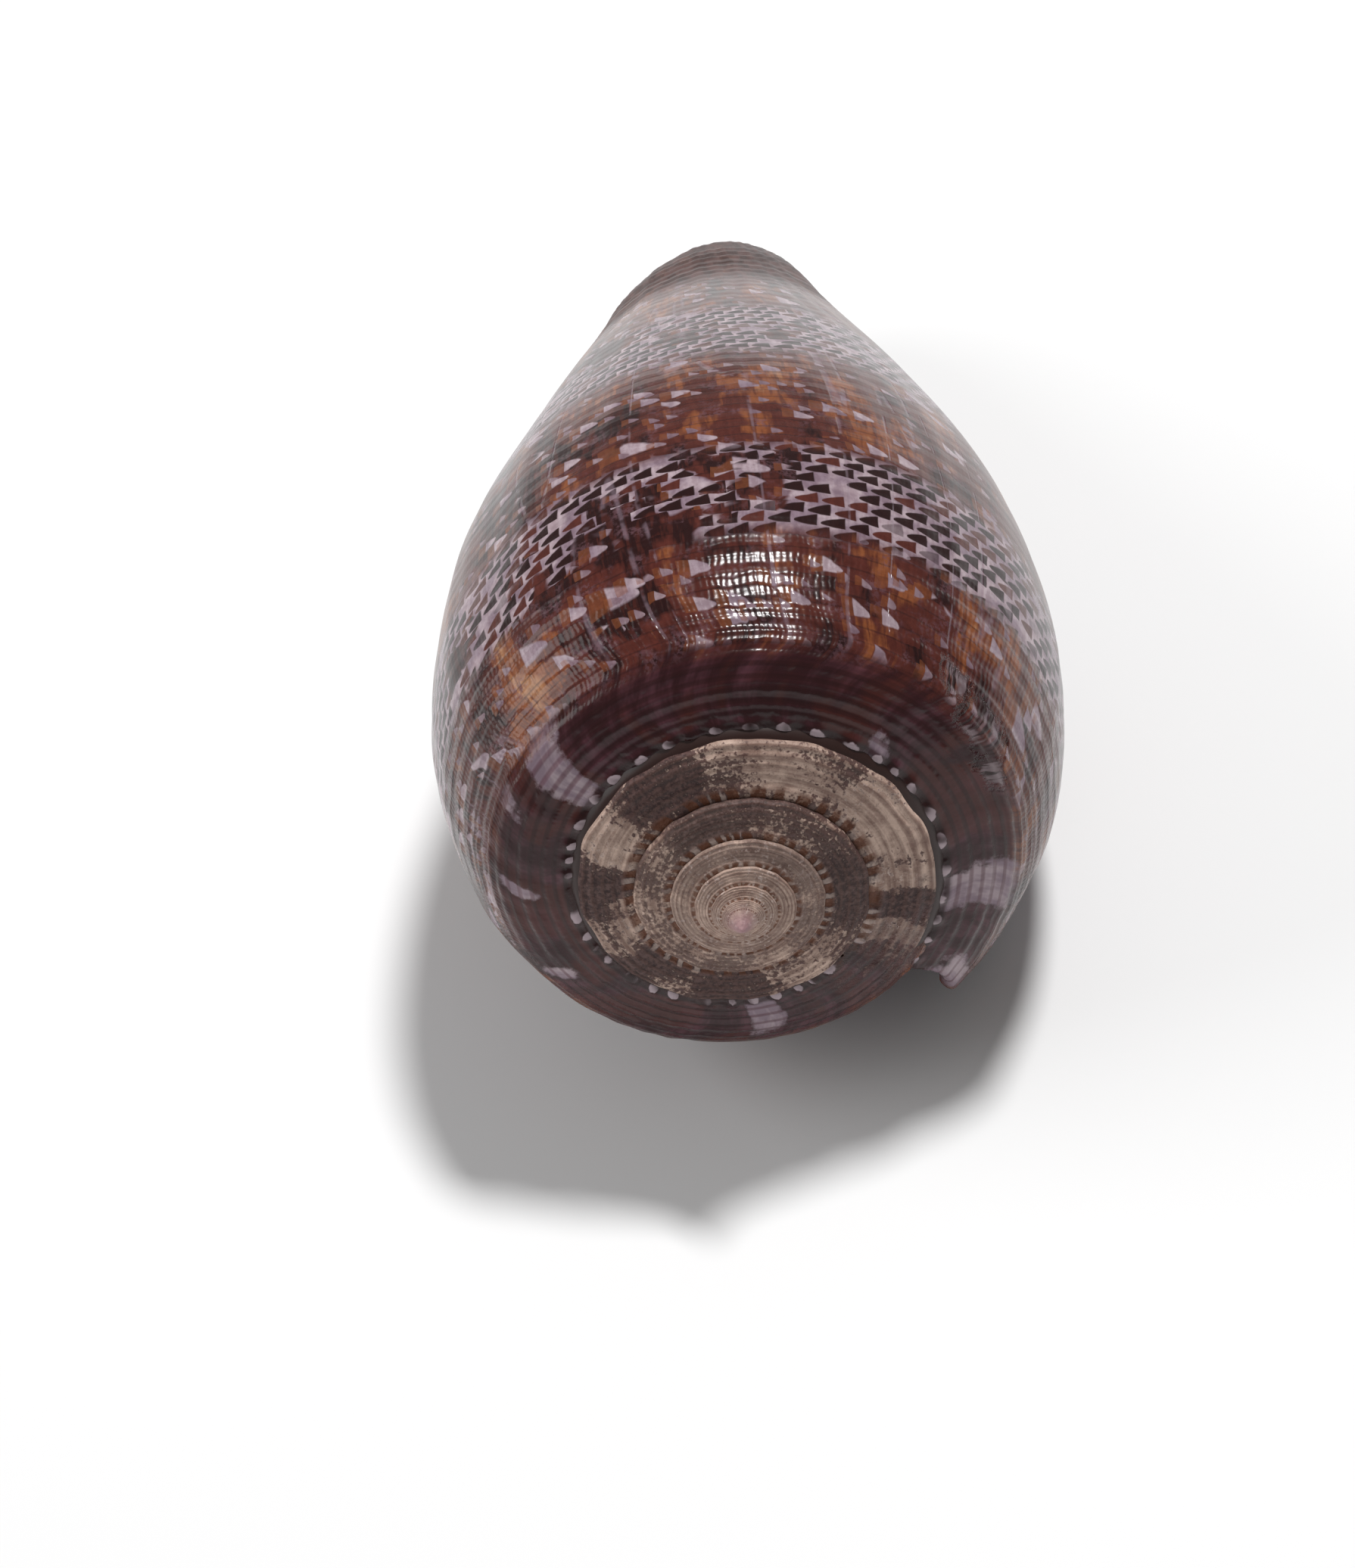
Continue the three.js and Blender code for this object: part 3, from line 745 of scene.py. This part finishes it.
age = step(t, turn, -4.2, -2.0)
kept = times(t, kept, plus(t, 0.25, times(t, age, 0.70)))
chalk = mix(t, step(t, weigh(t, (grime, 0.5), (rings, 0.5)), 0.38, 0.62), DULL_CHALK, CHALK)
chalk = mix(t, times(t, step(t, speck, 0.54, 0.66), step(t, sector, 0.42, 0.55)), chalk, BRIGHT_CHALK)
worn = mix(t, kept, chalk, mix(t, step(t, speck, 0.40, 0.62), DARK_PATCH, PATCH_SPECK))
spire_wave = wave(t, way, WORN_CORD_PITCH)
worn = mix(t, times(t, step(t, spire_wave, 0.1, 1.0), 0.28), worn, WORN_BROWN)
near_suture = inverse(t, step(t, way, 0.5, 1.0))
stain = times(t, near_suture, step(t, inverse(t, bead_wave), 0.35, 0.60))
worn = mix(t, times(t, stain, 0.75), worn, STAIN)
pale_bead = times(t, near_suture, step(t, bead_wave, 0.62, 0.80), step(t, sector, 0.44, 0.56))
worn = mix(t, times(t, pale_bead, 0.55), worn, BRIGHT_CHALK)
from_tip = node(t, "ShaderNodeVectorMath", {0: body_place, 1: TIP_PLACE}, operation="DISTANCE")
from_tip = plus(t, from_tip.outputs["Value"], times(t, grime, 0.0005))
tip = inverse(t, step(t, from_tip, 0.0007, 0.0019))
worn = mix(t, times(t, tip, 0.85), worn, PINK)
colour = mix(t, spire_part, colour, worn)

# Suture: painted shade, a dark line where each whorl's edge overhangs the next and shades it.
SUTURE_SHADE = (0.012, 0.006, 0.005, 1)
suture = inverse(t, step(t, way, 0.10, 0.26))
# Painted shade: the band next to each suture is pulled towards near-black.
colour = mix(t, times(t, suture, plus(t, 0.35, times(t, age, 0.6))), colour, SUTURE_SHADE)

# A few pale lines across the rows, where growth paused.
pauses = noise(t, drawn_out(15.0, 0.012, 0.0), 1.0, 2.0, 0.6)
pause = inverse(t, step(t, calc(t, "ABSOLUTE", minus(t, pauses, 0.5)), 0.0015, 0.007))
pause = times(t, pause, body_zone, step(t, drift2, 0.40, 0.55))
colour = mix(t, times(t, pause, 0.35), colour, LILAC)

# Inside: a smooth pale glaze on the wall, with painted shadow beside the suture where the ledge overhangs it,
# and a thinner glaze over the older whorl behind the lip.
GLAZE = (0.52, 0.44, 0.47, 1)
PAINTED_LEDGE_SHADOW = (0.026, 0.010, 0.008, 1)
inner_side = calc(t, "GREATER_THAN", way, INSIDE - 50.0)
glaze_tone = mix(t, drift2, GLAZE, mix(t, 0.5, GLAZE, LILAC))
# Painted shadow: the inner wall within the first 1.8 mm from the suture is near-black instead of glaze.
glaze_tone = mix(t, step(t, way, INSIDE + 1.8, INSIDE + 3.5), PAINTED_LEDGE_SHADOW, glaze_tone)
colour = mix(t, inner_side, colour, glaze_tone)
older_part = step(t, times(t, turn, -1.0), 1.02, 1.12)
older_part = times(t, older_part, step(t, way, SHOWN_WAY + 2.0, SHOWN_WAY + 4.0))
colour = mix(t, times(t, older_part, 0.7), colour, GLAZE)
t.links.new(colour, shader.inputs["Base Color"])

# Threads too fine to model, spiral ones crossed by axial ones, on the enamel; cords and pits on the spire.
THREAD_PITCHES = (1.1, 0.37, 0.30)  # spiral, finer spiral, axial
bare = calc(t, "MAXIMUM", calc(t, "MAXIMUM", inner_side, older_part), spire_part)
raised = plus(t, 0.20, times(t, inverse(t, step(t, way, 9.0, 12.0)), 0.8))
uneven = plus(t, round_mm, times(t, drift2, 0.5))
spiral, finer, axial_threads = (wave(t, *pair) for pair in zip((way_w, way_w, uneven), THREAD_PITCHES))
spiral = times(t, weigh(t, (spiral, 0.022), (finer, 0.0035)), raised)
axial_threads = times(t, axial_threads, 0.0034, raised, step(t, way, 3.0, 5.0))
height = times(t, plus(t, spiral, axial_threads), inverse(t, bare))
height = plus(t, height, times(t, pause, -0.012), times(t, scar, -0.10))
scale_down = calc(t, "POWER", SPIRE_GROWTH, turn)
spire_cords = times(t, spire_wave, 0.05, scale_down, spire_part)
pits = times(t, weigh(t, (grime, 0.12), (speck, 0.05)), spire_part)
height = plus(t, height, spire_cords, pits)
bump = node(t, "ShaderNodeBump", {"Strength": 1.0, "Distance": 0.001, "Height": height})
t.links.new(bump.outputs[0], shader.inputs["Normal"])
roughness = plus(t, 0.17, times(t, drift2, 0.12), times(t, front, 0.15), times(t, spire_part, 0.38))
t.links.new(roughness, shader.inputs["Roughness"])
shader.inputs["IOR"].default_value = 1.40
shell.data.materials.clear()
shell.data.materials.append(enamel)

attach(shell, "root")
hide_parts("shell")
